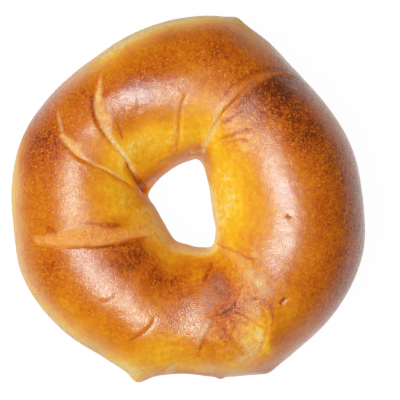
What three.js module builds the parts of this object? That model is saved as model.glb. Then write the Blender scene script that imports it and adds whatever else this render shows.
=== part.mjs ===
import * as THREE from 'three';

// A plain baked bagel: one rope of dough, wrapped round and pinched shut, so the ring is uneven in
// width and height, with stretch folds round its hole and an overlapped seam on the -Y side.
// Millimetres, +Z up. The origin lies on the table, under the middle of the ring, whose long way is Y.
//
// Places on the crust are given by two angles in degrees:
//   around: the direction from the hole's middle, counterclockwise seen from above, 0 along +X
//   across: the angle in the rope's section, 0 at the outer side, 90 on the crown, 180 at the hole

// Driving dimensions
const equatorHeight = 17; // where the sides are widest
const flatShare = 0.46; // half-width of the flat underside, as a share of the rope's half-width
const aroundSteps = 144;
const crownSteps = 28; // over the top, from the outer side to the hole
const sideSteps = 4; // down each side, from the equator to the flat underside
const flatSteps = 2;

// Radius of the outer side and of the hole, and height of the crown, at places round the ring
const stations = [
  { around: 0, outer: 52.3, hole: 6.7, crown: 38.6 },
  { around: 20, outer: 51.2, hole: 6.8, crown: 38.4 },
  { around: 38, outer: 49.9, hole: 7.5, crown: 38.0 },
  { around: 52, outer: 50.4, hole: 8.7, crown: 37.6 },
  { around: 65, outer: 53.3, hole: 10.4, crown: 37.4 },
  { around: 77, outer: 55.7, hole: 11.8, crown: 37.6 },
  { around: 92, outer: 54.4, hole: 11.2, crown: 38.0 },
  { around: 110, outer: 52.2, hole: 10.5, crown: 38.0 },
  { around: 125, outer: 50.8, hole: 10.2, crown: 37.6 },
  { around: 145, outer: 51.9, hole: 10.5, crown: 37.8 },
  { around: 160, outer: 53.1, hole: 11.2, crown: 38.4 },
  { around: 175, outer: 53.1, hole: 12.0, crown: 38.8 },
  { around: 190, outer: 53.1, hole: 10.4, crown: 39.0 },
  { around: 205, outer: 54.8, hole: 9.8, crown: 38.6 },
  { around: 225, outer: 54.6, hole: 10.2, crown: 38.4 },
  { around: 240, outer: 53.8, hole: 11.4, crown: 38.0 },
  { around: 253, outer: 55.0, hole: 13.0, crown: 37.4 },
  { around: 268, outer: 52.5, hole: 13.6, crown: 36.8 },
  { around: 282, outer: 54.6, hole: 14.7, crown: 37.2 },
  { around: 296, outer: 56.6, hole: 15.2, crown: 38.0 },
  { around: 308, outer: 55.6, hole: 12.6, crown: 38.8 },
  { around: 325, outer: 55.5, hole: 9.0, crown: 39.2 },
  { around: 342, outer: 54.8, hole: 7.4, crown: 39.0 },
];

// Short swellings and hollows, lift and spread in mm, lift along the surface's normal
const knobs = [
  { name: 'northNub', around: 75, across: 2, lift: 0.9, spread: 2.6 },
  { name: 'pinchedCorner', around: 254.5, across: 4, lift: 2.2, spread: 2.9 },
  { name: 'seamCorner', around: 294.5, across: 8, lift: 0.9, spread: 3.2 },
  { name: 'holeTopCorner', around: 73, across: 178, lift: -0.9, spread: 1.8 },
  { name: 'holeSeamCorner', around: 302, across: 178, lift: -1.4, spread: 2.2 },
  { name: 'crater', around: 353, across: 92, lift: -0.6, spread: 1.6 },
  { name: 'pit', around: 312, across: 71, lift: -0.5, spread: 1.0 },
];

// Folds and creases. The side to the left of a route, walked in its order, stands higher by
// step mm beside the crease and sinks back over reach mm. Depth and width are the groove's own.
const folds = [
  {
    name: 'leftFold',
    route: [[198, 52], [202, 77], [209, 97], [215, 121], [227, 150], [233, 172]],
    depth: 0.9, width: 1.7, step: 1.3, reach: 7,
  },
  {
    name: 'upperLeftFold',
    route: [[143, 30], [150, 56], [154, 76], [155, 99], [155, 127], [162, 165], [165, 190]],
    depth: 0.8, width: 1.6, step: 0.8, reach: 5,
  },
  {
    name: 'wideStretchFold',
    route: [[120, 30], [130, 55], [138, 71], [142, 90], [146, 110], [152, 130], [163, 160], [168, 190]],
    depth: 1.0, width: 2.0, step: 1.1, reach: 6,
  },
  {
    name: 'holeWedge',
    route: [[150, 120], [156, 140], [163, 160], [167, 188]],
    depth: 1.5, width: 2.4, step: 0, reach: 5,
  },
  {
    name: 'northFold',
    route: [[91, 88], [95, 103], [99, 115], [104, 132], [110, 152], [114, 180]],
    depth: 0.8, width: 1.6, step: 0.6, reach: 4,
  },
  {
    name: 'northWrinkle',
    route: [[111, 66], [113, 73], [120, 92]],
    depth: 0.4, width: 1.6, step: 0, reach: 4,
  },
  {
    name: 'northEastFold',
    route: [[49, 18], [56, 40], [62, 58], [67, 74], [69, 90], [71, 106], [74, 130], [78, 156]],
    depth: 0.9, width: 1.6, step: 0.9, reach: 6,
  },
  {
    name: 'seamFromHole',
    route: [[300, 176], [304, 152], [309, 136], [314, 122], [317, 108]],
    depth: 1.0, width: 1.6, step: 0.4, reach: 4,
  },
  {
    name: 'seamWrinkle',
    route: [[313, 118], [318, 108], [326, 95]],
    depth: 0.5, width: 1.6, step: 0, reach: 4,
  },
  {
    name: 'southCrease',
    route: [[291, 140], [287, 130], [281, 122]],
    depth: 0.5, width: 1.6, step: 0, reach: 4,
  },
  {
    name: 'deepSeamCrease',
    route: [[280, 86], [286, 91], [292, 94], [297, 101]],
    depth: 1.4, width: 1.7, step: 0.4, reach: 4,
  },
  {
    name: 'seamLip',
    route: [[303, 64], [300, 72], [296, 84], [292, 91]],
    depth: 0.7, width: 1.6, step: -0.6, reach: 4,
  },
  {
    name: 'seamRidge',
    route: [[274, 42], [276, 60], [278, 74], [281, 88]],
    depth: 0.8, width: 1.6, step: 0.7, reach: 4,
  },
  {
    name: 'overlapEdge',
    route: [[287, 20], [292, 36], [298, 54], [302, 64], [305, 74], [306, 82], [304, 90]],
    depth: 0.9, width: 1.7, step: 1.1, reach: 5,
  },
  {
    name: 'pinchedLip',
    route: [[256, 0], [260, 20], [264, 36], [267, 48]],
    depth: 0.8, width: 1.6, step: 0.9, reach: 5,
  },
  {
    name: 'southWestCrease',
    route: [[229, 64], [231, 76], [234, 90]],
    depth: 0.5, width: 1.6, step: 0.2, reach: 4,
  },
  {
    name: 'softSouthCrease',
    route: [[246, 54], [253, 74], [256, 92]],
    depth: 0.5, width: 2.2, step: 0, reach: 5,
  },
];

const crust = new THREE.MeshStandardMaterial({
  name: 'crust',
  color: 0xc57a2e,
  roughness: 0.4,
  metalness: 0,
});

// Smooth periodic interpolation of one station value.
function stationValue(around, key) {
  const count = stations.length;
  const angle = THREE.MathUtils.euclideanModulo(around, 360);
  let low = count - 1;
  while (stations[low].around > angle) low -= 1;
  const placed = (index) => {
    const turns = Math.floor(index / count);
    const station = stations[index - turns * count];
    return { angle: station.around + 360 * turns, value: station[key] };
  };
  const [before, start, end, after] = [-1, 0, 1, 2].map((offset) => placed(low + offset));
  const span = end.angle - start.angle;
  const startSlope = (end.value - before.value) / (end.angle - before.angle);
  const endSlope = (after.value - start.value) / (after.angle - start.angle);
  const t = (angle - start.angle) / span;
  const startPart = (1 + 2 * t) * (1 - t) ** 2 * start.value + t * (1 - t) ** 2 * span * startSlope;
  const endPart = t * t * (3 - 2 * t) * end.value + t * t * (t - 1) * span * endSlope;
  return startPart + endPart;
}

// The rope's section in one direction from the hole's middle.
function sectionAt(around) {
  const outer = stationValue(around, 'outer');
  const hole = stationValue(around, 'hole');
  return {
    middle: (outer + hole) / 2,
    half: (outer - hole) / 2,
    rise: stationValue(around, 'crown') - equatorHeight,
  };
}

// How far two places lie apart on the crust, in mm along and across the rope.
function apart(from, to, section) {
  const radius = section.middle + section.half * Math.cos(THREE.MathUtils.degToRad(from.across));
  const turn = THREE.MathUtils.euclideanModulo(to.around - from.around + 180, 360) - 180;
  return new THREE.Vector2(
    THREE.MathUtils.degToRad(turn) * radius,
    THREE.MathUtils.degToRad(to.across - from.across) * section.half,
  );
}

// Distance from the origin to a flat line, signed by its side, and the share of the line passed there.
function distanceToLine(line) {
  let nearest = { distance: Infinity, side: 1, share: 0 };
  for (let i = 0; i < line.length - 1; i += 1) {
    const along = line[i + 1].clone().sub(line[i]);
    const t = THREE.MathUtils.clamp(-line[i].dot(along) / along.lengthSq(), 0, 1);
    const distance = line[i].clone().addScaledVector(along, t).length();
    if (distance < nearest.distance) {
      nearest = { distance, side: line[i].cross(along) < 0 ? -1 : 1, share: (i + t) / (line.length - 1) };
    }
  }
  return nearest;
}

const routeSteps = 16;
const endFade = 0.16; // share of a route over which a fold dies out at each end

for (const fold of folds) {
  const knots = fold.route.map(([around, across]) => new THREE.Vector3(around, across, 0));
  const spline = new THREE.CatmullRomCurve3(knots);
  fold.points = spline.getPoints(routeSteps).map((point) => ({ around: point.x, across: point.y }));
}

// The fold's relief at a place, in mm along the normal.
function foldLift(fold, place, section) {
  const farthest = 4 * fold.reach;
  const line = fold.points.map((point) => apart(place, point, section));
  if (Math.min(...line.map((point) => point.length())) > farthest) return 0;
  const { distance, side, share } = distanceToLine(line);
  const fade = THREE.MathUtils.smoothstep(Math.min(share, 1 - share), 0, endFade);
  const groove = Math.exp(-((distance / fold.width) ** 2));
  const raised = side > 0 ? (1 - groove) * Math.exp(-distance / fold.reach) : 0;
  return fade * (fold.step * raised - fold.depth * groove);
}

function knobLift(knob, place, section) {
  const distance = apart(place, knob, section).length();
  return knob.lift * Math.exp(-((distance / knob.spread) ** 2));
}

// A point of the upper crust: an elliptical section, with folds and knobs raised along its normal.
function crustPoint(place, section) {
  const angle = THREE.MathUtils.degToRad(place.across);
  const [outward, upward] = [section.rise * Math.cos(angle), section.half * Math.sin(angle)];
  const normal = new THREE.Vector2(outward, upward).normalize();
  let lift = 0;
  for (const fold of folds) lift += foldLift(fold, place, section);
  for (const knob of knobs) lift += knobLift(knob, place, section);
  const point = new THREE.Vector2(
    section.middle + section.half * Math.cos(angle),
    equatorHeight + section.rise * Math.sin(angle),
  );
  return point.addScaledVector(normal, lift);
}

// The section's outline as steps of three kinds, each with its share of the way from start to end.
const outline = [];
for (let i = 0; i < crownSteps; i += 1) outline.push({ kind: 'crown', share: i / crownSteps });
for (let i = 0; i < sideSteps; i += 1) outline.push({ kind: 'holeSide', share: i / sideSteps });
for (let i = 0; i < flatSteps; i += 1) outline.push({ kind: 'flat', share: i / flatSteps });
for (let i = 0; i < sideSteps; i += 1) outline.push({ kind: 'outerSide', share: i / sideSteps });

// Radius and height of one outline step in one direction. The sides curve under as quarter
// ellipses that start from the crust's own edge at the equator and end on the flat underside.
function outlinePoint(step, around, section) {
  const flatHalf = flatShare * section.half;
  if (step.kind === 'crown') return crustPoint({ around, across: 180 * step.share }, section);
  if (step.kind === 'flat') {
    return new THREE.Vector2(section.middle + flatHalf * (2 * step.share - 1), 0);
  }
  const down = (step.kind === 'holeSide' ? step.share : 1 - step.share) * (Math.PI / 2);
  const edge = crustPoint({ around, across: step.kind === 'holeSide' ? 180 : 0 }, section);
  const flatEdge = section.middle + (step.kind === 'holeSide' ? -flatHalf : flatHalf);
  return new THREE.Vector2(
    flatEdge + (edge.x - flatEdge) * Math.cos(down),
    edge.y * (1 - Math.sin(down)),
  );
}

// A plain ring gives the closed grid of faces, and every one of its points is then moved into place.
function bagelGeometry() {
  const plainRing = outline.map((step, index) => {
    const angle = (2 * Math.PI * index) / outline.length;
    return new THREE.Vector2(2 + Math.cos(angle), Math.sin(angle));
  });
  const geometry = new THREE.LatheGeometry([...plainRing, plainRing[0]], aroundSteps);
  const position = geometry.getAttribute('position');
  const rowLength = outline.length + 1;
  for (let column = 0; column <= aroundSteps; column += 1) {
    const around = (360 * (column % aroundSteps)) / aroundSteps;
    const section = sectionAt(around);
    const angle = THREE.MathUtils.degToRad(around);
    for (let row = 0; row < rowLength; row += 1) {
      const { x: radius, y: height } = outlinePoint(outline[row % outline.length], around, section);
      position.setXYZ(column * rowLength + row, radius * Math.cos(angle), radius * Math.sin(angle), height);
    }
  }
  geometry.computeVertexNormals();
  return geometry;
}

const bagel = new THREE.Mesh(bagelGeometry(), crust);
bagel.name = 'bagel';

const group = new THREE.Group();
group.add(bagel);

export default group;
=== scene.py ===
"""A plain baked bagel: one glossy, unevenly browned ring with stretch folds and a pinched seam.

Places on the crust are given in degrees, as (around, across): around is the direction from the
hole's middle, counterclockwise from +X, and across is the angle in the dough rope's section,
0 at the outer side, 90 on the crown and 180 at the hole. Sizes are in millimetres, times MM.
"""

import math

import bmesh
import bpy
import numpy as np
from mathutils import Matrix, Vector, noise


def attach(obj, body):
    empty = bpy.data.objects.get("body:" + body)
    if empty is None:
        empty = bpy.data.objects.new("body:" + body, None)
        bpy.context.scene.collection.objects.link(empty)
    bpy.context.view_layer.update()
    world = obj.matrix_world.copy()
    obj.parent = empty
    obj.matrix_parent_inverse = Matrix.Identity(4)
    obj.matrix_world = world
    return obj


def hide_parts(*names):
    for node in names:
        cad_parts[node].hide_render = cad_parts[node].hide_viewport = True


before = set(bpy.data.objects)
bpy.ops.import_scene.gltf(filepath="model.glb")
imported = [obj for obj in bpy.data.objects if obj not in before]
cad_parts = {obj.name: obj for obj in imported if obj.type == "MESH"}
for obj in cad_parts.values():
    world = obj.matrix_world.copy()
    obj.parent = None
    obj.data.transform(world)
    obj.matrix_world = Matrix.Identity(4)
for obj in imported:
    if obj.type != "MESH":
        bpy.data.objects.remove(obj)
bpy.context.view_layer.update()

MM = 0.001

# ---------------------------------------------------------------- the ring's form

EQUATOR_HEIGHT = 17.0     # where the sides are widest
FLAT_SHARE = 0.46         # half-width of the flat underside, as a share of the rope's half-width

COLUMNS = 512             # round the ring
CROWN_ROWS = 136          # over the top, from the outer side to the hole
SIDE_ROWS = 20            # down each side
FLAT_ROWS = 16
ROWS = CROWN_ROWS + 2 * SIDE_ROWS + FLAT_ROWS

# around, outer radius, hole radius, crown height, and how far outward the crown leans in degrees
STATIONS = np.array([
    (0, 52.3, 6.7, 38.6, 5), (20, 51.2, 6.8, 38.4, 2), (38, 49.9, 7.5, 38.0, 4),
    (52, 50.4, 8.7, 37.6, 2), (65, 53.3, 10.4, 37.4, 0), (77, 55.7, 11.8, 37.6, 0),
    (92, 54.4, 11.2, 38.0, 2), (110, 52.2, 10.5, 38.0, 8), (125, 50.8, 10.2, 37.6, 15),
    (145, 51.9, 10.5, 37.8, 8), (160, 53.1, 11.2, 38.4, 7), (175, 53.1, 12.0, 38.8, 2),
    (190, 53.1, 10.4, 39.0, 1), (205, 54.8, 9.8, 38.6, 2), (225, 54.6, 10.2, 38.4, 4),
    (240, 53.8, 11.4, 38.0, 4), (253, 55.0, 13.0, 37.4, 6), (268, 52.5, 13.6, 36.8, 6),
    (282, 54.6, 14.7, 37.2, 4), (296, 56.6, 15.2, 38.0, 2), (308, 55.6, 12.6, 38.8, 0),
    (325, 55.5, 9.0, 39.2, 1), (342, 54.8, 7.4, 39.0, 3),
])

# name: place, lift along the normal and spread, in mm
KNOBS = {
    "north_nub": ((75, 2), 0.9, 2.6),
    "pinched_corner": ((254.5, 4), 2.2, 2.9),
    "seam_corner": ((294.5, 8), 0.9, 3.2),
    "bottom_nub": ((280, 8), 0.6, 1.1),
    "hole_top_corner": ((73, 178), -0.9, 1.8),
    "hole_seam_corner": ((302, 178), -1.4, 2.2),
    "crater": ((351, 91), -0.3, 0.8),
    "north_west_lobe": ((143, 76), 0.35, 4.0),
    "south_flat": ((271, 88), -0.65, 7.0),
}

# Where one lobe of dough overlaps the next: the raised lobe is on the right of the edge, and a band
# of stretched dough on its left. name: edge as (around, across, width of the band), then the
# lobe's step up, how far the band sinks and how far the step reaches back, in mm
FOLDS = {
    "left": ([(194, 43, 0.3), (196, 50, 1.7), (198, 59, 2.9), (200, 68, 3.8), (202, 77, 4.6),
              (204, 86, 5.2), (207, 94, 5.0), (209, 101, 4.2), (213, 116, 2.9), (217, 126, 2.4),
              (224, 139, 2.0), (236, 158, 0.9)], 0.28, 0.35, 6),
    "upper_left": ([(149, 51, 0.6), (153, 63, 1.6), (157, 72, 2.4), (160, 86, 1.4), (161, 104, 0.9),
                    (164, 124, 0.9), (171, 148, 0.8)], 0.16, 0.25, 5),
    "wide": ([(126, 48, 1.0), (131, 57, 2.0), (135, 66, 3.2), (139, 75, 4.0), (142, 87, 3.0),
              (144, 98, 1.4), (147, 114, 1.0), (153, 130, 1.0), (165, 157, 1.0)], 0.16, 0.3, 5),
    "north": ([(90, 94, 0.6), (94, 102, 0.9), (97, 112, 1.4), (99, 124, 1.6), (102, 136, 1.6),
               (105, 152, 1.2)], 0.14, 0.25, 4),
    "north_east": ([(47, 22, 0.4), (50, 32, 0.8), (54, 42, 1.5), (57, 54, 2.4), (60, 65, 2.8),
                    (63, 77, 2.6), (65, 90, 2.4), (68, 102, 2.2), (71, 120, 1.8), (74, 142, 1.2)],
                   0.25, 0.4, 6),
    "seam": ([(318, 106, 2.4), (316, 115, 3.4), (313, 123, 3.4), (310, 132, 2.8), (306, 143, 2.0),
              (303, 158, 0.8)], 0.18, 0.3, 5),
    "overlap": ([(292, 40, 0.6), (297, 51, 1.2), (300, 59, 1.4), (303, 65, 1.4), (305, 74, 1.2),
                 (305, 81, 0.9), (303, 86, 0.6)], 0.2, 0.25, 4),
    "pinched": ([(266, 42, 0.4), (263, 33, 1.4), (261, 25, 1.8), (258, 14, 1.4), (255, 5, 0.6)],
                0.45, 0.3, 4),
}

# name: route, groove depth and width and the step up on its left side, in mm
CREASES = {
    "hole_wedge": ([(150, 120), (154, 131), (159, 143), (165, 156), (170, 168)], 1.3, 1.2, 0),
    "north_wrinkle": ([(113, 68), (115, 79), (117, 87), (120, 96)], 0.12, 0.9, 0),
    "south_crease": ([(291, 141), (287, 131), (282, 119)], 0.2, 0.9, 0.1),
    "deep_seam": ([(280, 87), (283, 89), (287, 91), (290, 93), (293, 95), (295, 98)], 0.3, 0.45, 0.1),
    "seam_ridge": ([(293, 94), (295, 97), (297, 99), (301, 103)], -0.25, 0.4, 0),
    "seam_lip": ([(293, 92), (295, 88), (297, 83), (298, 78), (301, 67)], 0.16, 0.4, -0.12),
    "pink_ridge": ([(281, 88), (279, 83), (277, 76), (274, 64), (273, 54)], -0.3, 1.0, 0),
    "south_lobe_end": ([(246, 54), (249, 62), (252, 71), (254, 79), (254, 87)], 0.15, 0.6, 0.2),
    "south_west_crease": ([(230, 70), (232, 76), (234, 83)], 0.08, 0.6, 0.08),
    "east_streak_1": ([(67, 112), (63, 106), (60, 97), (57, 89)], 0.16, 0.6, 0.1),
    "east_streak_2": ([(62, 122), (56, 112), (51, 101), (47, 93)], 0.16, 0.6, 0.1),
    "east_streak_3": ([(56, 120), (50, 110), (43, 102)], 0.12, 0.6, 0.1),
    "pit": ([(311, 71), (313, 71), (315, 70)], 0.5, 0.5, 0),
}

NARROWEST_BAND = 0.8      # of a fold, in mm
FOLD_END_FADE = 0.14      # share of a route over which a fold dies out at each end
LINE_END_FADE = 0.15      # the same for a crease or a border of the browning
CREASE_REACH = 3          # how far the step beside a crease reaches back, in mm
CREASE_SEARCH = 14        # how far off a crease is still felt, in mm


def station_values(around):
    """Outer radius, hole radius, crown height and lean at each angle, smoothly interpolated."""
    angles = STATIONS[:, 0]
    values = STATIONS[:, 1:]
    wide_angles = np.concatenate([[angles[-1] - 360], angles, angles[:2] + 360])
    wide_values = np.vstack([values[-1], values, values[:2]])
    slopes = (wide_values[2:] - wide_values[:-2]) / (wide_angles[2:] - wide_angles[:-2])[:, None]
    around = around % 360
    low = np.searchsorted(angles, around, side="right") - 1
    span = (wide_angles[low + 2] - wide_angles[low + 1])[:, None]
    t = ((around - wide_angles[low + 1]) / span[:, 0])[:, None]
    start = (1 + 2 * t) * (1 - t) ** 2 * wide_values[low + 1] + t * (1 - t) ** 2 * span * slopes[low]
    end = t * t * (3 - 2 * t) * wide_values[low + 2] + t * t * (t - 1) * span * slopes[low + 1]
    return (start + end).T


def smooth_step(value, low, high):
    """0 up to low, 1 from high on, and eased in between."""
    t = np.clip((value - low) / (high - low), 0, 1)
    return t * t * (3 - 2 * t)


def spline_points(route, steps=8):
    """A Catmull-Rom curve through the route's places, any number of values each."""
    knots = np.array(route, float)
    knots = np.vstack([2 * knots[0] - knots[1], knots, 2 * knots[-1] - knots[-2]])
    t = np.linspace(0, 1, steps, endpoint=False)[:, None]
    spans = []
    for a, b, c, d in zip(knots[:-3], knots[1:-2], knots[2:-1], knots[3:]):
        spans.append(0.5 * (2 * b + (c - a) * t + (2 * a - 5 * b + 4 * c - d) * t ** 2
                            + (3 * b - a - 3 * c + d) * t ** 3))
    return np.vstack(spans + [knots[-2:-1]])


def band_width(edge, share):
    """The width of a fold's band at each share of its edge, in mm."""
    widths = spline_points(edge)[:, 2]
    return np.interp(share, np.linspace(0, 1, len(widths)), widths)


class Crust:
    """The place of every point of the crust, with ways to measure from it in mm."""

    def __init__(self, around, across):
        outer, hole, crown, lean = station_values(around)
        self.around = around
        self.across = across
        self.middle = (outer + hole) / 2
        self.half = (outer - hole) / 2
        self.rise = crown - EQUATOR_HEIGHT
        self.lean = np.radians(lean)
        self.radius = self.middle + self.half * np.cos(np.radians(across))

    def offset(self, place, pick=slice(None)):
        """How far a place lies from each point, in mm along and across the rope."""
        turn = (place[0] - self.around[pick] + 180) % 360 - 180
        along = np.radians(turn) * self.radius[pick]
        return along, np.radians(place[1] - self.across[pick]) * self.half[pick]

    def distance(self, place):
        return np.hypot(*self.offset(place))

    def near(self, route, reach):
        """The points that may lie within reach mm of a route."""
        close = np.zeros(len(self.around), bool)
        for place in route:
            close |= self.distance(place) < reach
        return np.nonzero(close)[0]

    def from_route(self, route, reach):
        """Points near a route, their distance to it in mm, positive on its left, and how much of
        the route is passed there, as a share."""
        places = spline_points(route)
        pick = self.near(places, reach)
        best = np.full(len(pick), np.inf)
        side = np.ones(len(pick))
        share = np.zeros(len(pick))
        offsets = [self.offset(place[:2], pick) for place in places]
        for index, (start, end) in enumerate(zip(offsets[:-1], offsets[1:])):
            step_x, step_y = end[0] - start[0], end[1] - start[1]
            length = np.maximum(step_x ** 2 + step_y ** 2, 1e-9)
            t = np.clip(-(start[0] * step_x + start[1] * step_y) / length, 0, 1)
            distance = np.hypot(start[0] + t * step_x, start[1] + t * step_y)
            closer = distance < best
            best[closer] = distance[closer]
            side[closer] = np.where(start[0] * step_y - start[1] * step_x < 0, -1, 1)[closer]
            share[closer] = ((index + t) / (len(offsets) - 1))[closer]
        return pick, best * side, share


def fold_lift(crust):
    """How far the folds, creases and knobs lift each point of the crust, in mm."""
    lift = np.zeros(len(crust.around))
    for edge, step, sink, reach in FOLDS.values():
        pick, signed, share = crust.from_route(edge, 4 * reach)
        fade = smooth_step(np.minimum(share, 1 - share), 0, FOLD_END_FADE)
        width = np.maximum(band_width(edge, share), NARROWEST_BAND)
        raised = np.exp(-np.abs(signed) / reach) * smooth_step(-signed, -0.2, 0.7)
        sunk = smooth_step(signed, -0.3, 0.3) * (1 - smooth_step(signed, 0.3, 1.2 * width))
        lift[pick] += fade * (step * raised - sink * sunk)
    for route, depth, width, step in CREASES.values():
        pick, signed, share = crust.from_route(route, CREASE_SEARCH)
        fade = smooth_step(np.minimum(share, 1 - share), 0, LINE_END_FADE)
        groove = np.exp(-(signed / width) ** 2)
        raised = np.exp(-np.abs(signed) / CREASE_REACH) * (1 - groove) * (signed * step > 0)
        lift[pick] += fade * (abs(step) * raised - depth * groove)
    for place, height, spread in KNOBS.values():
        lift += height * np.exp(-(crust.distance(place) / spread) ** 2)
    return lift


def layered_noise(places, size, layers=1, seed=0.0):
    """Smooth noise of about -1 to 1 at places in mm, with features of the given size in mm."""
    shift = Vector((seed * 17.3, seed * 5.9, seed * 11.1))
    return np.array([noise.fractal(Vector(place) / size + shift, 1.0, 2.0, layers)
                     for place in places])


def plain_ring():
    """A ring of even section, whose faces the bagel keeps."""
    bm = bmesh.new()
    section = Matrix.Translation((2, 0, 0)) @ Matrix.Rotation(math.pi / 2, 4, "X")
    bmesh.ops.create_circle(bm, cap_ends=False, segments=ROWS, radius=1, matrix=section)
    bmesh.ops.spin(bm, geom=bm.verts[:] + bm.edges[:], cent=(0, 0, 0), axis=(0, 0, 1),
                   dvec=(0, 0, 0), angle=2 * math.pi, steps=COLUMNS, use_merge=True,
                   use_duplicate=False)
    bmesh.ops.recalc_face_normals(bm, faces=bm.faces[:])
    for face in bm.faces:
        face.smooth = True
    mesh = bpy.data.meshes.new("bagel_crust")
    bm.to_mesh(mesh)
    bm.free()
    return mesh


def ring_places(mesh):
    """Around in degrees and row number of every vertex of the plain ring."""
    flat = np.empty(3 * len(mesh.vertices))
    mesh.vertices.foreach_get("co", flat)
    x, y, z = flat.reshape(-1, 3).T
    around = np.degrees(np.arctan2(y, x)) % 360
    turn = np.arctan2(z, np.hypot(x, y) - 2) / (2 * math.pi) % 1
    return around, np.round(turn * ROWS) % ROWS


def form(around, row):
    """Every vertex's place in mm, its outward normal in the section, and its crust."""
    across = np.clip(row / CROWN_ROWS, 0, 1) * 180
    hole_down = np.clip((row - CROWN_ROWS) / SIDE_ROWS, 0, 1)
    flat_share = np.clip((row - CROWN_ROWS - SIDE_ROWS) / FLAT_ROWS, 0, 1)
    outer_up = np.clip((row - ROWS + SIDE_ROWS) / SIDE_ROWS, 0, 1)
    on_outer = outer_up > 0
    across[on_outer] = 0
    crust = Crust(around, across)
    angle = np.radians(across)
    leant = angle + crust.lean * np.sin(angle)
    steepness = 1 + crust.lean * np.cos(angle)
    normal = np.stack([crust.rise * np.cos(leant) * steepness, crust.half * np.sin(angle)])
    normal /= np.hypot(*normal)
    lift = fold_lift(crust)
    radial = crust.radius + normal[0] * lift
    height = EQUATOR_HEIGHT + crust.rise * np.sin(leant) + normal[1] * lift
    down = np.where(on_outer, 1 - outer_up, hole_down) * math.pi / 2
    flat_half = FLAT_SHARE * crust.half
    flat_edge = crust.middle + np.where(on_outer, flat_half, flat_half * (2 * flat_share - 1))
    below = row > CROWN_ROWS
    radial = np.where(below, flat_edge + (radial - flat_edge) * np.cos(down), radial)
    height = np.where(below, height * (1 - np.sin(down)), height)
    side_normal = np.stack([np.cos(down) * np.where(on_outer, 1, -1), -np.sin(down)])
    normal = np.where(below, side_normal, normal)
    return crust, radial, height, normal, below


def to_places(around, radial, height):
    """Places in mm from the direction and distance from the ring's axis, and the height."""
    turn = np.radians(around)
    return np.stack([radial * np.cos(turn), radial * np.sin(turn), height], -1)


# uneven skin: shallow lumps, and a fine pucker from baking, in mm
LUMP_SIZE = 13
LUMP_HEIGHT = 0.14
PUCKER_SIZE = 2.2
PUCKER_HEIGHT = 0.05

mesh = plain_ring()
around, row = ring_places(mesh)
crust, radial, height, normal, below = form(around, row)
places = to_places(around, radial, height)
lumps = layered_noise(places, LUMP_SIZE, 2, 1)
pucker = layered_noise(places, PUCKER_SIZE, 2, 2)
skin = LUMP_HEIGHT * lumps + PUCKER_HEIGHT * pucker
skin *= smooth_step(height, 0.5, 5)     # none on the flat underside
radial += normal[0] * skin
height += normal[1] * skin
places = to_places(around, radial, height)
mesh.vertices.foreach_set("co", (places * MM).ravel())
mesh.update()

# ---------------------------------------------------------------- browning, with painted light and shade

# how brown the crust is over the section: across, toast
BASE_TOAST = [(0, 0.8), (10, 0.66), (20, 0.56), (32, 0.53), (50, 0.58), (68, 0.57), (80, 0.53),
              (92, 0.52), (104, 0.39), (116, 0.23), (128, 0.14), (152, 0.12), (164, 0.18), (180, 0.32)]
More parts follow.
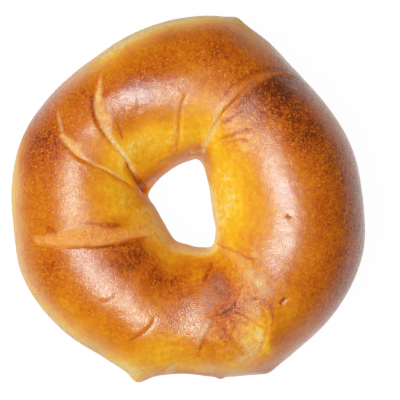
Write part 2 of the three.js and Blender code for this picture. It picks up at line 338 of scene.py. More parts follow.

# darker and lighter patches: place, spread in mm along and across the rope, change in toast; some are
# painted light and some painted shade, as marked
PATCHES = {
    # painted shade over browner crust: darkens the east side
    "east_side": ((0, 36), 24, 9, 0.22),
    "north_east_toast": ((51, 50), 7, 8, 0.32),
    "north_east_core": ((51, 44), 3.0, 4.5, 0.26),
    "east_shoulder": ((27, 63), 8, 5, 0.15),
    "north_east_inner_toast": ((58, 73), 4, 4, 0.16),
    "north_east_rim": ((46, 28), 5, 11, 0.22),
    "east_upper_side": ((34, 54), 8, 8, 0.16),
    # painted shade over browner crust: darkens the south-east side
    "south_east_side": ((332, 24), 14, 8, 0.22),
    "south_east_gold": ((312, 61), 6, 6, -0.30),
    "south_east_inner": ((322, 108), 6, 5, 0.08),
    # paler underbaked rim, partly painted rim glow: the next two lines lighten the north rim
    "north_rim": ((92, 11), 24, 7, -1.0),
    "north_west_rim": ((116, 28), 12, 8, -0.36),
    "north_crown": ((112, 78), 9, 6, 0.22),
    "north_crown_east": ((78, 62), 7, 9, 0.15),
    "north_crown_pale": ((82, 102), 4, 6, -0.12),
    "north_inner": ((122, 112), 6, 4, -0.10),
    # painted shade: the next three lines darken the north and north-west walls deep in the hole
    "north_wall": ((90, 154), 6, 4, 0.42),
    "north_wall_corner": ((73, 148), 3, 4, 0.34),
    "north_west_wall": ((158, 154), 5, 5, 0.45),
    "north_wall_west": ((134, 154), 6, 4, 0.06),
    "west_upper_side": ((160, 46), 9, 9, 0.28),
    "north_west_low": ((150, 14), 7, 9, 0.25),
    # paler underbaked rim, partly painted rim glow on the west side
    "west_side": ((176, 9), 15, 6, -0.75),
    "west_wall": ((193, 136), 6, 5, 0.06),
    "west_lobe_inner": ((146, 100), 5, 6, -0.22),
    "west_inner": ((172, 112), 6, 8, -0.08),
    "west_fold_above": ((200, 111), 2.5, 5, 0.25),
    "north_inner_toast": ((86, 112), 6, 8, 0.05),
    "south_west_gold": ((232, 42), 13, 8, -0.20),
    # paler underbaked rim, partly painted rim glow on the south-west side
    "south_west_rim": ((218, 11), 20, 6, -0.60),
    "south_west_crown": ((224, 96), 9, 5, 0.13),
    "left_fold_below": ((224, 113), 4.5, 6, 0.35),
    "south_west_inner": ((238, 116), 6, 5, 0.14),
    "left_fold_inner": ((228, 127), 4, 5, 0.22),
    "south_inner_band": ((254, 116), 8, 5.0, 0.42),
    "south_crown": ((271, 100), 4, 10, 0.18),
    "south_mauve": ((289, 116), 3, 6, 0.25),
    "seam_inner": ((293, 122), 4, 7, 0.38),
    "south_wall_seam": ((276, 142), 8, 4, 0.22),
    "seam_crown": ((287, 98), 4, 9, 0.20),
    "south_gold": ((268, 38), 11, 9, -0.36),
    "south_crown_gold": ((258, 58), 8, 6, -0.20),
    "pinched_corner": ((250, 12), 7, 9, -0.70),
    "seam_gold": ((286, 42), 5, 12, -0.28),
    "seam_pale": ((296, 56), 4, 8, -0.40),
    "seam_crown_east": ((308, 108), 4, 8, 0.14),
    "seam_rim_pale": ((298, 56), 1.6, 6, -0.18),
    "seam_lobe": ((299, 90), 3, 4, 0.14),
    "seam_lip": ((301, 68), 3, 4, -0.25),
    "north_west_shoulder": ((135, 52), 6, 8, 0.12),
    # painted light: the next two lines lighten the south wall of the hole, as bounce light would
    "south_wall": ((226, 146), 13, 6, -0.11),
    "south_wall_low": ((225, 171), 16, 6, -0.40),
    "east_wall": ((28, 142), 9, 5, -0.03),
    "south_east_wall": ((332, 141), 7, 4, -0.04),
    "west_lower_side": ((208, 54), 5, 6, 0.14),
    "north_west_inner": ((135, 122), 4, 7, -0.08),
    # painted light: the next two lines lighten the lower east and south walls of the hole, as bounce
    # light would
    "east_wall_low": ((15, 174), 10, 5, -0.22),
    "south_wall_east": ((272, 160), 9, 4, -0.25),
    "east_inner": ((15, 120), 12, 4, 0.08),
    "south_east_inner_low": ((340, 120), 7, 3, 0.10),
}

# pale, hardly baked dough, matte and beige, and at the rims partly a painted glow: place, spread in mm
# along and across the rope, strength
BEIGE = {
    "seam_patch": ((293, 62), 2.2, 4.0, 0.65),
    "seam_patch_grey": ((289, 45), 2.6, 2.4, 0.6),
    "seam_patch_low": ((293, 50), 2.0, 3.0, 0.6),
    "seam_lobe": ((300, 82), 2.0, 2.0, 0.35),
    "seam_top": ((310, 104), 2.2, 6.0, 0.4),
    "seam_top_low": ((311, 93), 1.8, 2.4, 0.5),
    "hole_top": ((86, 152), 5, 3, 0.5),
    # paler underbaked rim, partly painted rim glow
    "south_rim": ((230, 10), 20, 6, 1.2),
    "seam_rim": ((281, 30), 6, 3.0, 0.6),
    # paler underbaked rims, partly painted rim glow, in this line and the next
    "west_rim": ((184, 9), 16, 5, 1.2),
    "north_rim": ((108, 8), 20, 6, 1.3),
    "fold_inner": ((219, 140), 3.0, 3.0, 0.35),
}

# greyish pink glaze, partly painted sheen and grazing reflection: place, spread in mm along and across
# the rope, strength
MAUVE = {
    "blotch": ((286, 110), 1.6, 3.0, 0.8),
    "blotch_top": ((291, 120), 1.5, 2.2, 0.45),
    "blotch_middle": ((290, 115), 2.4, 3.0, 0.5),
    "blotch_low": ((281, 105), 1.5, 3.0, 1.0),
    "seam_east": ((311, 87), 1.3, 1.8, 0.9),
    "south_crown": ((278, 98), 3.0, 5.0, 0.35),
    "north_east": ((53, 88), 4.0, 4.0, 0.5),
    "north_east_crown": ((58, 79), 2.6, 3.0, 0.6),
    "north_east_rim": ((46, 32), 6.0, 3.5, 0.5),
    "north_east_dark": ((49, 36), 4.0, 3.0, 0.6),
    "north_shoulder": ((69, 44), 5.0, 2.5, 0.45),
}

# puckered skin: place, spread in mm along and across the rope, strength
PUCKERS = {
    "north_east": ((52, 88), 8, 9, 1.3),
    "north_east_toast": ((49, 58), 8, 9, 0.8),
    "south_crown": ((268, 80), 7, 9, 0.7),
    "seam_top": ((309, 100), 6, 9, 1.3),
    "seam_mauve": ((286, 106), 4, 8, 1.0),
    "seam_patch": ((290, 68), 7, 9, 1.3),
    "east_crown": ((345, 94), 9, 2.5, 0.2),
}

# where the crust is less glossy, or more where negative: place, spread in mm along and across the
# rope, strength
MATTE = {
    "east_crown": ((334, 91), 10, 6, -1.0),
    "east_crown_north": ((4, 92), 8, 4, -0.45),
    "south_shine": ((268, 84), 6, 12, -0.5),
    "north_shine": ((118, 72), 6, 5, -0.5),
    "west_crown": ((195, 92), 5, 6, 0.4),
    "south_west_crown": ((214, 100), 5, 8, 0.15),
    "north_west_crown": ((150, 89), 3, 5, 0.6),
    "north_rim": ((95, 20), 18, 7, 0.7),
    "west_rim": ((163, 26), 9, 11, 0.8),
    "north": ((78, 88), 6, 8, 0.7),
    "north_east": ((54, 88), 9, 9, 0.2),
    "seam": ((292, 84), 7, 10, 0.55),
    "pink_ridge": ((277, 77), 1.4, 6, -0.3),
    "seam_west": ((281, 87), 4.5, 7, 0.6),
    "south_east_crown": ((315, 94), 6, 8, 0.8),
    "south_low": ((270, 24), 12, 6, 0.8),
}


def patch_sum(crust, patches):
    """Soft patches added up over the crust."""
    total = np.zeros(len(crust.around))
    for place, along_spread, across_spread, strength in patches.values():
        along, over = crust.offset(place)
        total += strength * np.exp(-(along / along_spread) ** 2 - (over / across_spread) ** 2)
    return total


# Marks that follow a line on the crust. name: strength, route as (around, across, half-width in mm)
TRACES = {
    # stretched dough that stayed pale
    "stretch": {
        "left": (0.88, [(193, 43, 0.2), (195, 49, 0.9), (196, 57, 1.3), (197, 66, 1.7), (198, 75, 2.2),
                        (199, 85, 2.6), (201, 94, 2.8), (203, 101, 2.5), (206, 108, 2.0),
                        (208, 115, 1.6), (210, 124, 1.4), (213, 133, 1.6), (217, 144, 1.2)]),
        "upper_left": (0.85, [(153, 61, 0.5), (154, 67, 0.9), (155, 73, 1.2), (157, 80, 1.1),
                              (158, 87, 0.6)]),
        "wide": (0.9, [(124, 44, 0.2), (126, 49, 0.4), (128, 56, 0.8), (131, 62, 1.0), (133, 69, 1.4),
                       (135, 75, 1.7), (136, 82, 1.5), (139, 89, 0.8)]),
        "north": (0.7, [(89, 92, 0.2), (93, 99, 0.4), (96, 106, 0.5), (99, 113, 0.7), (101, 123, 0.8),
                        (104, 134, 0.8), (106, 145, 0.6)]),
        "north_east": (0.3, [(50, 31, 0.3), (54, 40, 0.5), (57, 52, 0.7), (60, 63, 0.9), (62, 73, 1.0),
                             (65, 83, 1.1), (68, 93, 0.9), (70, 106, 0.6)]),
        "seam": (0.5, [(303, 156, 0.4), (306, 142, 1.2), (308, 132, 1.6), (310, 121, 1.4),
                       (310, 111, 0.8)]),
        "south_triangle": (0.7, [(280, 56, 0.2), (283, 57, 0.5), (285, 59, 0.6), (286, 62, 0.2)]),
        "seam_lip": (0.7, [(297, 86, 0.2), (298, 80, 0.4), (300, 75, 0.5), (301, 70, 0.3)]),
        "seam_rim": (0.8, [(301, 65, 0.3), (299, 60, 0.5), (297, 56, 0.6), (295, 50, 0.6),
                           (293, 44, 0.4)]),
    },
    # matte, cream or beige
    "beige": {
        "wide_ridge": (0.9, [(140, 81, 0.2), (141, 89, 0.4), (142, 97, 0.6), (144, 106, 0.7),
                             (146, 114, 0.7), (149, 124, 0.5), (156, 141, 0.3)]),
        "upper_left": (0.6, [(146, 42, 0.2), (148, 50, 0.4), (151, 58, 0.4), (153, 64, 0.3)]),
        "wide": (0.5, [(126, 49, 0.3), (131, 62, 0.7), (135, 74, 1.2), (136, 82, 1.1), (139, 89, 0.5)]),
        "upper_left_band": (0.45, [(153, 61, 0.4), (155, 73, 1.0), (158, 87, 0.4)]),
        "upper_left_inner": (0.5, [(159, 90, 0.2), (160, 100, 0.4), (160, 109, 0.4), (162, 119, 0.4),
                                   (165, 131, 0.3)]),
        "north_east": (0.7, [(69, 95, 0.4), (71, 103, 0.7), (71, 111, 0.9), (70, 117, 0.9),
                             (71, 126, 0.9), (73, 137, 0.9), (75, 147, 0.6)]),
        "cream_streak": (0.9, [(288, 33, 0.2), (290, 38, 0.5), (292, 43, 0.5)]),
        "pink_ridge": (0.25, [(281, 87, 0.2), (279, 83, 0.7), (277, 77, 1.0), (275, 69, 0.8),
                              (273, 61, 0.4)]),
        "seam_bottom": (0.7, [(272, 24, 0.8), (279, 27, 1.0), (284, 29, 1.3), (288, 27, 1.2),
                              (292, 23, 0.8)]),
        "torn": (0.8, [(89, 150, 0.4), (82, 155, 0.8), (75, 151, 0.8), (71, 141, 0.4)]),
        "tip": (0.75, [(260, 6, 0.4), (263, 15, 1.0), (264, 26, 1.3), (265, 36, 0.8)]),
    },
    # greyish pink glaze, partly painted sheen and grazing reflection
    "mauve": {
        "pink_ridge": (0.6, [(282, 88, 0.3), (280, 85, 0.7), (277, 79, 1.0), (276, 74, 1.2),
                             (274, 67, 0.9), (273, 59, 0.6), (272, 54, 0.3)]),
        "north_east_line": (0.6, [(59, 58, 0.3), (57, 46, 0.5), (53, 36, 0.6), (49, 29, 0.6)]),
        "north_wrinkle": (0.5, [(113, 70, 0.4), (115, 79, 0.7), (117, 86, 0.7), (120, 95, 0.4)]),
        "north_wall": (0.45, [(132, 143, 0.4), (119, 147, 0.9), (106, 151, 0.9), (93, 152, 0.6)]),
    },
    # scorched creases and edges, partly painted shade in the creases and painted shadow beside the fold
    # edges
    "scorch_and_shade": {
        # painted shadow under the left fold's lower edge, over a scorched line
        "left": (0.6, [(201, 71, 0.2), (204, 82, 0.3), (207, 94, 0.4), (209, 100, 0.6), (212, 108, 0.9),
                       (214, 115, 1.0), (218, 125, 0.9), (224, 136, 0.4)]),
        "left_above": (0.5, [(193, 87, 0.2), (194, 96, 0.4), (197, 105, 0.7), (199, 112, 0.7),
                             (201, 120, 0.3)]),
        "left_above_west": (0.5, [(191, 59, 0.3), (193, 65, 1.2), (195, 69, 0.6)]),
        "upper_left": (0.45, [(155, 65, 0.2), (157, 71, 0.3), (158, 78, 0.3), (161, 87, 0.2)]),
        "upper_left_inner": (0.3, [(162, 104, 0.3), (163, 113, 0.6), (166, 127, 0.7), (172, 144, 0.4)]),
        "wide": (0.6, [(133, 57, 0.2), (135, 64, 0.35), (138, 71, 0.4), (140, 78, 0.3), (141, 85, 0.4),
                       (143, 92, 0.4)]),
        "wide_mark": (0.7, [(133, 91, 0.2), (135, 97, 0.4), (138, 104, 0.2)]),
        "hole_wedge": (1.0, [(149, 117, 0.2), (153, 129, 0.4), (158, 141, 0.6), (164, 154, 0.9),
                             (170, 168, 0.8)]),
        "north": (0.35, [(91, 98, 0.2), (94, 105, 0.4), (96, 114, 0.4), (98, 125, 0.4),
                         (99, 136, 0.3)]),
        "torn": (0.9, [(85, 158, 0.3), (78, 156, 0.5), (74, 147, 0.4)]),
        "north_east": (0.5, [(72, 104, 0.2), (71, 95, 0.3), (69, 83, 0.4), (66, 73, 0.3), (63, 63, 0.3),
                             (60, 53, 0.3), (56, 41, 0.3), (52, 29, 0.4), (49, 22, 0.3)]),
        "east_streak_1": (0.8, [(67, 112, 0.3), (63, 106, 0.5), (60, 97, 0.4), (57, 89, 0.2)]),
        "east_streak_2": (0.7, [(62, 122, 0.2), (56, 112, 0.4), (51, 101, 0.5), (47, 93, 0.2)]),
        "east_streak_3": (0.5, [(56, 120, 0.2), (50, 110, 0.3), (43, 102, 0.2)]),
        "seam": (0.6, [(302, 160, 0.2), (306, 143, 0.25), (310, 132, 0.3), (313, 122, 0.35),
                       (315, 114, 0.35), (317, 109, 0.2)]),
        "red_streak": (0.6, [(291, 142, 0.2), (287, 133, 0.5), (282, 123, 0.5), (279, 115, 0.3)]),
        "deep_seam": (0.9, [(280, 87, 0.2), (283, 89, 0.3), (287, 91, 0.35), (290, 93, 0.4),
                            (293, 95, 0.35), (295, 98, 0.2)]),
        "pink_ridge": (0.45, [(280, 86, 0.2), (279, 80, 0.3), (278, 75, 0.3), (276, 68, 0.35),
                              (275, 61, 0.35), (274, 54, 0.3), (273, 46, 0.2)]),
        "seam_lip": (0.6, [(293, 91, 0.2), (294, 88, 0.3), (296, 83, 0.3), (298, 78, 0.3),
                           (299, 72, 0.3), (301, 66, 0.2)]),
        # painted shadow beside the edge of the overlapping lobe
        "overlap": (0.55, [(301, 94, 0.2), (304, 89, 0.3), (306, 84, 0.5), (307, 80, 0.8),
                           (307, 74, 0.9), (306, 69, 0.5), (304, 65, 0.3), (302, 61, 0.2)]),
        "seam_orange": (0.35, [(285, 82, 1.2), (285, 73, 1.8), (285, 64, 1.4)]),
        "south_lobe_end": (0.35, [(246, 54, 0.2), (249, 62, 0.35), (252, 71, 0.4), (254, 79, 0.4),
                                  (254, 87, 0.3)]),
        "south_west_crease": (0.25, [(230, 71, 0.2), (232, 76, 0.3), (234, 82, 0.2)]),
        "pit": (0.9, [(311, 71, 0.3), (313, 71, 0.6), (315, 70, 0.3)]),
        "crater": (0.5, [(352, 94, 0.2), (350, 91, 0.5), (352, 88, 0.2)]),
        "speck_1": (0.6, [(211, 79, 0.2), (212, 79, 0.5), (213, 79, 0.2)]),
        "speck_2": (0.4, [(214, 76, 0.2), (215, 76, 0.4), (216, 76, 0.2)]),
        "speck_3": (0.4, [(220, 86, 0.2), (221, 86, 0.4), (222, 86, 0.2)]),
    },
}

# borders where a browner stretch of crust starts sharply on the right of the route: the route, how
# far the browning reaches in mm, and the change in toast
BROWNED_BORDERS = {
    "north_east": ([(64, 96), (63, 85), (61, 75), (58, 64), (56, 53), (53, 42), (49, 32)], 6, 0.26),
    "left": ([(201, 71), (204, 82), (207, 94), (210, 103), (213, 111), (217, 122), (222, 132)],
             4, 0.16),
    "south_wall": ([(232, 128), (245, 131), (258, 134), (270, 136), (282, 137), (292, 142)], 4, 0.14),
}


def trace_level(crust, traces, raggedness):
    """How strongly the marks of one kind cover each point, with ragged edges."""
    level = np.zeros(len(crust.around))
    for strength, route in traces.values():
        widest = max(half_width for _, _, half_width in route)
        pick, signed, share = crust.from_route(route, 2 * widest + 2)
        half_width = np.maximum(band_width(route, share), 0.2)
        away = np.abs(signed) + 0.3 * raggedness[pick] * half_width
        cover = 1 - smooth_step(away / half_width, 0.55, 1.5)
        patchy = np.clip(1 + 0.4 * raggedness[pick], 0.5, 1.2)
        cover *= patchy * smooth_step(np.minimum(share, 1 - share), -0.02, 0.08)
        level[pick] = np.maximum(level[pick], strength * cover)
    return level


def border_browning(crust):
    """The browning beside the sharp borders, which dies out away from them."""
    level = np.zeros(len(crust.around))
    for route, reach, change in BROWNED_BORDERS.values():
        pick, signed, share = crust.from_route(route, 3 * reach)
        fade = smooth_step(np.minimum(share, 1 - share), 0, LINE_END_FADE)
        start = smooth_step(-signed, -0.2, 0.5)
        level[pick] += change * fade * start * np.exp(-np.abs(signed) / reach)
    return level


def set_attribute(mesh, name, values):
    attribute = mesh.attributes.new(name, "FLOAT", "POINT")
    attribute.data.foreach_set("value", values.astype(np.float32))


SIDE_TOAST = 0.62         # the browning that the sides even out to, lower down
UNEVEN_SHARE = 0.35       # how much of the crown's unevenness is left there

SOFT_MARKS = {"beige": BEIGE, "mauve": MAUVE}

toast_light_and_shade = np.interp(crust.across, *zip(*BASE_TOAST)) + patch_sum(crust, PATCHES) + 0.06 * lumps
toast_light_and_shade += border_browning(crust)

# down the sides: 0 where they are widest and 1 at the foot, which is a little browner. The marks
# and patches fade out, with a ragged edge.
side_down = np.where(below, 1 - height / EQUATOR_HEIGHT, 0)
toast_light_and_shade -= 0.10 * smooth_step(side_down, 0, 0.4) * (1 - smooth_step(side_down, 0.8, 1))
toast_light_and_shade += 0.12 * smooth_step(side_down, 0.85, 1)
upper = 1 - smooth_step(side_down + 0.1 * lumps, 0.05, 0.75)
toast_light_and_shade = SIDE_TOAST + (toast_light_and_shade - SIDE_TOAST) * (UNEVEN_SHARE + (1 - UNEVEN_SHARE) * upper)
set_attribute(mesh, "toast_light_and_shade", toast_light_and_shade)
for kind, traces in TRACES.items():
    level = trace_level(crust, traces, pucker)
    if kind in SOFT_MARKS:
        level = np.maximum(level, patch_sum(crust, SOFT_MARKS[kind]) * (1 + 1.1 * pucker))
    set_attribute(mesh, kind, np.clip(level, 0, 1) * upper)
set_attribute(mesh, "pucker", np.clip(patch_sum(crust, PUCKERS), 0, 1.3) * upper)
set_attribute(mesh, "matte", np.clip(patch_sum(crust, MATTE), -1, 1) * upper)

# ---------------------------------------------------------------- crust material

# colours of the browning, from hardly baked to scorched: toast, colour
BROWNING = [
    # the palest colour is partly painted light, made light enough for the shaded lower walls of the
    # hole
    (0.0, "#ddb36a"), (0.07, "#da9f28"), (0.15, "#d89412"), (0.30, "#c87a08"), (0.45, "#b86707"),
    (0.60, "#a75604"), (0.72, "#9f4803"), (0.82, "#953b03"), (0.92, "#7c2f05"), (1.0, "#5e2409"),
]
BLISTER_AND_GLINT_COLOUR = "#df9c3c"
GLAZE_AND_SHEEN_COLOUR = "#9a614a"
STRETCHED_COLOUR = "#cd8440"
DOUGH_AND_RIM_GLOW_COLOUR = "#cfa770"

# sizes of the patterns in mm. Real blisters and crumbs are finer, and are drawn as coarse as they
# need to be to show.
CLOUD_SIZE = 7
MOTTLE_SIZE = 1.6
BLISTER_SIZE = 0.52
CRUMB_SIZE = 0.38

# what the patterns and the scorched creases, with their painted shade, add to the toast
CLOUD_TOAST = 0.34
MOTTLE_TOAST = 0.34       # on plain skin
PUCKER_TOAST = 0.65       # and this much more of the mottle on puckered skin
SCORCH_AND_SHADE_TOAST = 0.42


def linear(hex_colour):
    """The linear colour of an sRGB hex value."""
    channels = [int(hex_colour[i:i + 2], 16) / 255 for i in (1, 3, 5)]
    return tuple(c / 12.92 if c <= 0.04045 else ((c + 0.055) / 1.055) ** 2.4 for c in channels) + (1,)


def add_node(tree, kind, settings=None, links=None):
    """A shader node with its settings, by property, input name or input number, and its inputs'
    links."""
    node = tree.nodes.new("ShaderNode" + kind)
    for name, value in (settings or {}).items():
        if isinstance(name, str) and hasattr(node, name):
            setattr(node, name, value)
        else:
            node.inputs[name].default_value = value
    for name, socket in (links or {}).items():
        tree.links.new(socket, node.inputs[name])
    return node


def baked_crust():
    """Boiled and baked wheat crust: thin, glossy and browned unevenly, with fine blisters and painted
    glints;
    the stretched dough in the folds stays pale and matte, and creases scorch, with painted shade in
    them."""
    material = bpy.data.materials.new("baked_crust")
    material.use_nodes = True
    tree = material.node_tree
    tree.nodes.clear()
    coords = add_node(tree, "TexCoord").outputs["Object"]
    toast_light_and_shade, stretch, scorch_and_shade, beige, mauve, pucker, matte = [
        add_node(tree, "Attribute", {"attribute_name": name}).outputs["Fac"]
        for name in ("toast_light_and_shade", "stretch", "scorch_and_shade", "beige", "mauve", "pucker", "matte")]
    clouds, mottle, blisters = [
        add_node(tree, "TexNoise", {"Scale": 1 / (size * MM), "Detail": detail, "Roughness": 0.55},
                 {"Vector": coords}).outputs["Fac"]
        for size, detail in ((CLOUD_SIZE, 3.0), (MOTTLE_SIZE, 3.0), (BLISTER_SIZE, 0.0))]
    crumbs = add_node(tree, "TexVoronoi", {"Scale": 1 / (CRUMB_SIZE * MM)}, {"Vector": coords})
    grain = add_node(tree, "RGBToBW", links={"Color": crumbs.outputs["Color"]}).outputs[0]

    # toast of each point, painted light and shade included: the map, grainier where it is browner, then
    # made uneven by the mottle, more so where the skin is puckered, and by the clouds, whose mean is
    # taken off beforehand
    speckled = add_node(tree, "Math", {"operation": "MULTIPLY_ADD", 1: 0.95, 2: 0.52},
                        {0: grain}).outputs[0]
    browned_light_and_shade = add_node(tree, "Math", {"operation": "MULTIPLY_ADD", 2: -CLOUD_TOAST / 2},
                       {0: toast_light_and_shade, 1: speckled}).outputs[0]
    blotched = add_node(tree, "Math",
                        {"operation": "MULTIPLY_ADD", 1: PUCKER_TOAST, 2: MOTTLE_TOAST},
                        {0: pucker}).outputs[0]
    uneven = add_node(tree, "Math", {"operation": "SUBTRACT", 1: 0.5}, {0: mottle}).outputs[0]
    browned_light_and_shade = add_node(tree, "Math", {"operation": "MULTIPLY_ADD"},
                       {0: uneven, 1: blotched, 2: browned_light_and_shade}).outputs[0]
    for pattern, strength in ((clouds, CLOUD_TOAST), (scorch_and_shade, SCORCH_AND_SHADE_TOAST)):
        browned_light_and_shade = add_node(tree, "Math", {"operation": "MULTIPLY_ADD", 1: strength},
                           {0: pattern, 2: browned_light_and_shade}).outputs[0]
    ramp = add_node(tree, "ValToRGB", links={"Fac": browned_light_and_shade})
    elements = ramp.color_ramp.elements
    while len(elements) < len(BROWNING):
        elements.new(0.5)
    for element, (position, tint) in zip(elements, BROWNING):
        element.position = position
        element.color = linear(tint)

    # blisters with painted glints, pink glaze that is partly painted sheen, pale stretched dough and
    # matte beige dough, at the rims partly painted glow, lie over the browning, all but the blisters
    # broken up by the mottle
    broken = add_node(tree, "MapRange", {"From Min": 0.36, "From Max": 0.56, "To Min": 0.45},
                      {"Value": mottle}).outputs[0]
    blisters_and_glints = add_node(tree, "MapRange", {"From Min": 0.65, "From Max": 0.76, "To Max": 0.40},
                         {"Value": blisters}).outputs[0]
    layers = [(blisters_and_glints, BLISTER_AND_GLINT_COLOUR)]
    for mark, tint in ((mauve, GLAZE_AND_SHEEN_COLOUR), (stretch, STRETCHED_COLOUR), (beige, DOUGH_AND_RIM_GLOW_COLOUR)):
        cover = add_node(tree, "Math", {"operation": "MULTIPLY"}, {0: mark, 1: broken}).outputs[0]
        layers.append((cover, tint))
    colour = ramp.outputs["Color"]
    for cover, tint in layers:
        colour = add_node(tree, "Mix", {"data_type": "RGBA", 7: linear(tint)},
                          {0: cover, 6: colour}).outputs[2]

    # each crumb is a little lighter or darker than the next, most of all in bare dough
    dough = add_node(tree, "Math", {"operation": "MAXIMUM"}, {0: stretch, 1: beige}).outputs[0]
    contrast = add_node(tree, "Math", {"operation": "MULTIPLY_ADD", 1: 0.3, 2: 0.45},
                        {0: dough}).outputs[0]
    shade = add_node(tree, "Math", {"operation": "SUBTRACT", 1: 0.5}, {0: grain}).outputs[0]
    shade = add_node(tree, "Math", {"operation": "MULTIPLY_ADD", 2: 1.0},
                     {0: shade, 1: contrast}).outputs[0]
    colour = add_node(tree, "Mix", {"data_type": "RGBA", "blend_type": "MULTIPLY", 0: 1.0},
                      {6: colour, 7: shade}).outputs[2]

    # the palest crust and the layers of dough are dull, the rest glossy, and some stretches more so
    dull = add_node(tree, "MapRange",
                    {"From Min": 0.10, "From Max": 0.42, "To Min": 0.8, "To Max": 0.0},
                    {"Value": toast_light_and_shade}).outputs[0]
    for cover in (stretch, beige, matte):
        dull = add_node(tree, "Math", {"operation": "MAXIMUM"}, {0: dull, 1: cover}).outputs[0]
    polish = add_node(tree, "MapRange",
                      {"From Min": 0.2, "From Max": 0.8, "To Min": 0.20, "To Max": 0.36},
                      {"Value": grain}).outputs[0]
    roughness = add_node(tree, "Mix", {"data_type": "FLOAT", 3: 0.6},
                         {0: dull, 2: polish}).outputs[0]
    shine = add_node(tree, "MapRange", {"To Min": 0.5, "To Max": 0.1}, {"Value": dull}).outputs[0]
    extra = add_node(tree, "Math", {"operation": "MINIMUM", 1: 0.0}, {0: matte}).outputs[0]
    shine = add_node(tree, "Math", {"operation": "MULTIPLY_ADD", 1: -0.4},
                     {0: extra, 2: shine}).outputs[0]

    # fine dents in the skin: pattern, depth in mm, share of it on plain skin, and how much more
    # puckering adds
    bump = None
    for pattern, depth, plain, puckered in (
            (crumbs.outputs["Distance"], 0.04, 1.0, 1.0), (mottle, 0.05, 0.4, 3.6)):
        share = add_node(tree, "Math", {"operation": "MULTIPLY_ADD", 1: puckered, 2: plain},
                         {0: pucker}).outputs[0]
        dents = add_node(tree, "Math", {"operation": "MULTIPLY"},
                         {0: pattern, 1: share}).outputs[0]
        links = {"Height": dents, "Normal": bump} if bump else {"Height": dents}
        bump = add_node(tree, "Bump", {"Strength": 1.0, "Distance": depth * MM, "invert": True},
                        links).outputs[0]
    shader = add_node(tree, "BsdfPrincipled",
                      {"IOR": 1.5, "Subsurface Weight": 0.3, "Subsurface Scale": 3 * MM,
                       "Subsurface Radius": (1.0, 0.45, 0.12)},
                      {"Base Color": colour, "Roughness": roughness, "Specular IOR Level": shine,
                       "Normal": bump})
    add_node(tree, "OutputMaterial", links={"Surface": shader.outputs[0]})
    return material


crust_piece = bpy.data.objects.new("bagel_crust", mesh)
bpy.context.scene.collection.objects.link(crust_piece)
mesh.materials.append(baked_crust())
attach(crust_piece, "root")
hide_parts("bagel")

# ---------------------------------------------------------------- studio

FLOOR_SIZE = 3.0

# round pools of light on the floor: a middle, and levels by the distance in metres from it
FLOOR_POOLS = [
    ((0, 0, 0), [(0.0, 1.25), (0.092, 1.25), (0.104, 0.8), (0.125, 0.2), (0.16, 0.0), (1.0, 0.0)]),
    ((0.10, -0.06, 0), [(0.0, 1.15), (0.12, 1.05), (0.20, 0.6), (0.30, 0.25), (0.45, 0.08),
                        (1.0, 0.0)]),
]

KEY_TILT = math.radians(13)
KEY_AZIMUTH = math.radians(216)
KEY_DISTANCE = 0.9
KEY_SIZE = 0.50
KEY_RADIANCE = 18.2       # a white floor in full light is 1
FILL_TILT = math.radians(56)
FILL_AZIMUTH = math.radians(155)
FILL_DISTANCE = 1.4
FILL_SIZE = 0.9
FILL_RADIANCE = 5.6


def pale_floor():
    """White board, brightest round the bagel and dimmer towards its far edges."""
    material = bpy.data.materials.new("white_board")
    material.use_nodes = True
    tree = material.node_tree
    shader = tree.nodes["Principled BSDF"]
    shader.inputs["Base Color"].default_value = linear("#484848")
    shader.inputs["Roughness"].default_value = 0.9
    shader.inputs["Specular IOR Level"].default_value = 0.0
    shader.inputs["Emission Color"].default_value = (1, 1, 1, 1)
    coords = add_node(tree, "TexCoord").outputs["Object"]
    brightest = 2.0           # the curve holds levels as shares of this
    pools = []
    for middle, levels in FLOOR_POOLS:
        away = add_node(tree, "VectorMath", {"operation": "DISTANCE", 1: middle}, {0: coords})
        fade = add_node(tree, "FloatCurve", links={"Value": away.outputs["Value"]})
        points = fade.mapping.curves[0].points
        while len(points) < len(levels):
            points.new(0.5, 0.5)
        for point, (metres, level) in zip(points, levels):
            point.location = (metres, level / brightest)
            point.handle_type = "VECTOR"
        fade.mapping.update()
        pools.append(add_node(tree, "Math", {"operation": "MULTIPLY", 1: brightest},
                              {0: fade.outputs[0]}).outputs[0])
    glow = add_node(tree, "Math", {"operation": "MAXIMUM"},
                    {0: pools[0], 1: pools[1]}).outputs[0]
    tree.links.new(glow, shader.inputs["Emission Strength"])
    bm = bmesh.new()
    bmesh.ops.create_grid(bm, x_segments=1, y_segments=1, size=FLOOR_SIZE / 2)
    floor_mesh = bpy.data.meshes.new("floor")
    bm.to_mesh(floor_mesh)
    bm.free()
    floor_mesh.materials.append(material)
    floor = bpy.data.objects.new("floor", floor_mesh)
    bpy.context.scene.collection.objects.link(floor)


def soft_light(name, azimuth, tilt, distance, size, radiance):
    """A round softbox that faces the bagel."""
    direction = Vector((math.sin(tilt) * math.cos(azimuth),
                        math.sin(tilt) * math.sin(azimuth),
                        math.cos(tilt)))
    light = bpy.data.lights.new(name, "AREA")
    light.shape = "DISK"
    light.size = size
    light.energy = radiance * math.pi * math.pi * (size / 2) ** 2
    lamp = bpy.data.objects.new(name, light)
    lamp.location = direction * distance
    lamp.rotation_euler = direction.to_track_quat("Z", "Y").to_euler()
    bpy.context.scene.collection.objects.link(lamp)
    return lamp


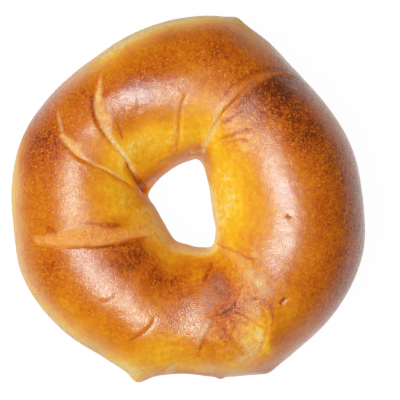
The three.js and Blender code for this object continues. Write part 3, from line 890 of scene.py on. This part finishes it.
def dark_room():
    """Unlit surroundings, so that the crust mirrors only the floor and the soft light. They are
    pale only where the camera sees them directly, past the floor's edge."""
    world = bpy.data.worlds.new("room")
    world.use_nodes = True
    tree = world.node_tree
    tree.nodes.clear()
    seen = add_node(tree, "LightPath").outputs["Is Camera Ray"]
    shade = add_node(tree, "MapRange", {"To Min": 0.06, "To Max": 0.95},
                     {"Value": seen})
    background = add_node(tree, "Background", links={"Color": shade.outputs[0]})
    add_node(tree, "OutputWorld", links={"Surface": background.outputs[0]})
    bpy.context.scene.world = world


def overhead_camera():
    """Straight down, far enough off that the ring's sides hardly show."""
    distance = 0.78           # above the ring's equator
    frame_width = 0.12        # at the equator's height
    aside = (3.45 * MM, -0.3 * MM)
    camera = bpy.data.cameras.new("camera")
    camera.sensor_width = 36
    camera.lens = camera.sensor_width * distance / frame_width
    camera_object = bpy.data.objects.new("camera", camera)
    camera_object.location = (*aside, distance + EQUATOR_HEIGHT * MM)
    bpy.context.scene.collection.objects.link(camera_object)
    bpy.context.scene.camera = camera_object


def bright_end_curve():
    """A camera's soft shoulder: plain below the middle tones, easing the bright ones into white."""
    view = bpy.context.scene.view_settings
    view.view_transform = "Standard"
    view.use_curve_mapping = True
    white = 1.35              # the light that is shown as full white
    view.curve_mapping.white_level = (white, white, white)
    points = view.curve_mapping.curves[3].points
    shoulder = [(0.0, 0.0), (0.25, 0.25), (0.5, 0.5), (0.8, 0.735), (1.0, 0.865), (1.2, 0.96),
                (white, 1.0)]
    while len(points) < len(shoulder):
        points.new(0.5, 0.5)
    for point, (light, shown) in zip(points, shoulder):
        point.location = (light / white, shown)
    view.curve_mapping.update()


pale_floor()
soft_light("key", KEY_AZIMUTH, KEY_TILT, KEY_DISTANCE, KEY_SIZE, KEY_RADIANCE)
fill = soft_light("fill", FILL_AZIMUTH, FILL_TILT, FILL_DISTANCE, FILL_SIZE, FILL_RADIANCE)
fill.visible_glossy = False    # too diffuse to show in the glossy crust
dark_room()
overhead_camera()
bright_end_curve()
